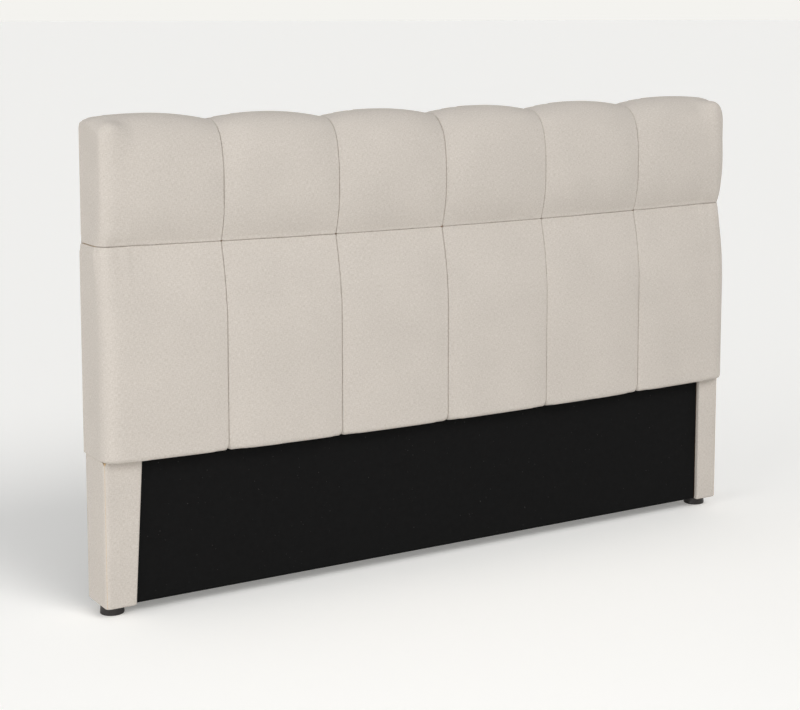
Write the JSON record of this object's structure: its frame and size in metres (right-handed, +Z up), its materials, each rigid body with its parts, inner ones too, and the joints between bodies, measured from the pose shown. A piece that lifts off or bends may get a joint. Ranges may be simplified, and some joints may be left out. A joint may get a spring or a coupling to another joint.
{
  "type": "upholstered headboard",
  "caption": "Free-standing upholstered bed headboard with a padded, channelled front, a scalloped top, covered legs and a flat black lower panel.",
  "frame": {"origin": "centre of the bounding box at the floor", "axes": "+X across the bed to the right seen from the front, -Y the padded front, +Y the back, +Z up"},
  "size_m": [1.67, 0.1281, 1.0504],
  "materials": {
    "particleboard": "raw sawn particleboard",
    "softwood": "raw planed pine",
    "hardboard": "raw smooth hardboard",
    "steel": "zinc-plated",
    "cover_cloth": "plain beige linen-look weave",
    "black_lining": "black spun-bonded non-woven cloth",
    "foot_plastic": "satin moulded dark plastic"
  },
  "bodies": {
    "root": {"left_side_board": "particleboard", "right_side_board": "particleboard", "left_leg_stile": "particleboard", "right_leg_stile": "particleboard", "top_board": "particleboard", "bottom_rail": "particleboard", "pad_rail": "particleboard", "seam_rail": "particleboard", "left_base_stile": "particleboard", "centre_base_stile": "particleboard", "right_base_stile": "particleboard", "left_lower_stile": "particleboard", "centre_lower_stile": "particleboard", "right_lower_stile": "particleboard", "left_upper_stile": "particleboard", "centre_upper_stile": "particleboard", "right_upper_stile": "particleboard", "left_leg_cheek": "particleboard", "right_leg_cheek": "particleboard", "left_foot_block": "softwood", "right_foot_block": "softwood", "glue_blocks": "softwood", "face_board": "hardboard", "lower_board": "hardboard", "back_board": "hardboard", "top_screws": "steel", "rail_screws": "steel", "foot_screws": "steel", "lower_pad_1": "cover_cloth", "lower_pad_2": "cover_cloth", "lower_pad_3": "cover_cloth", "lower_pad_4": "cover_cloth", "lower_pad_5": "cover_cloth", "lower_pad_6": "cover_cloth", "upper_pad_1": "cover_cloth", "upper_pad_2": "cover_cloth", "upper_pad_3": "cover_cloth", "upper_pad_4": "cover_cloth", "upper_pad_5": "cover_cloth", "upper_pad_6": "cover_cloth", "left_leg_sleeve": "cover_cloth", "right_leg_sleeve": "cover_cloth", "front_lining": "black_lining", "back_lining": "black_lining", "left_foot": "foot_plastic", "right_foot": "foot_plastic"}
  },
  "joints": []
}
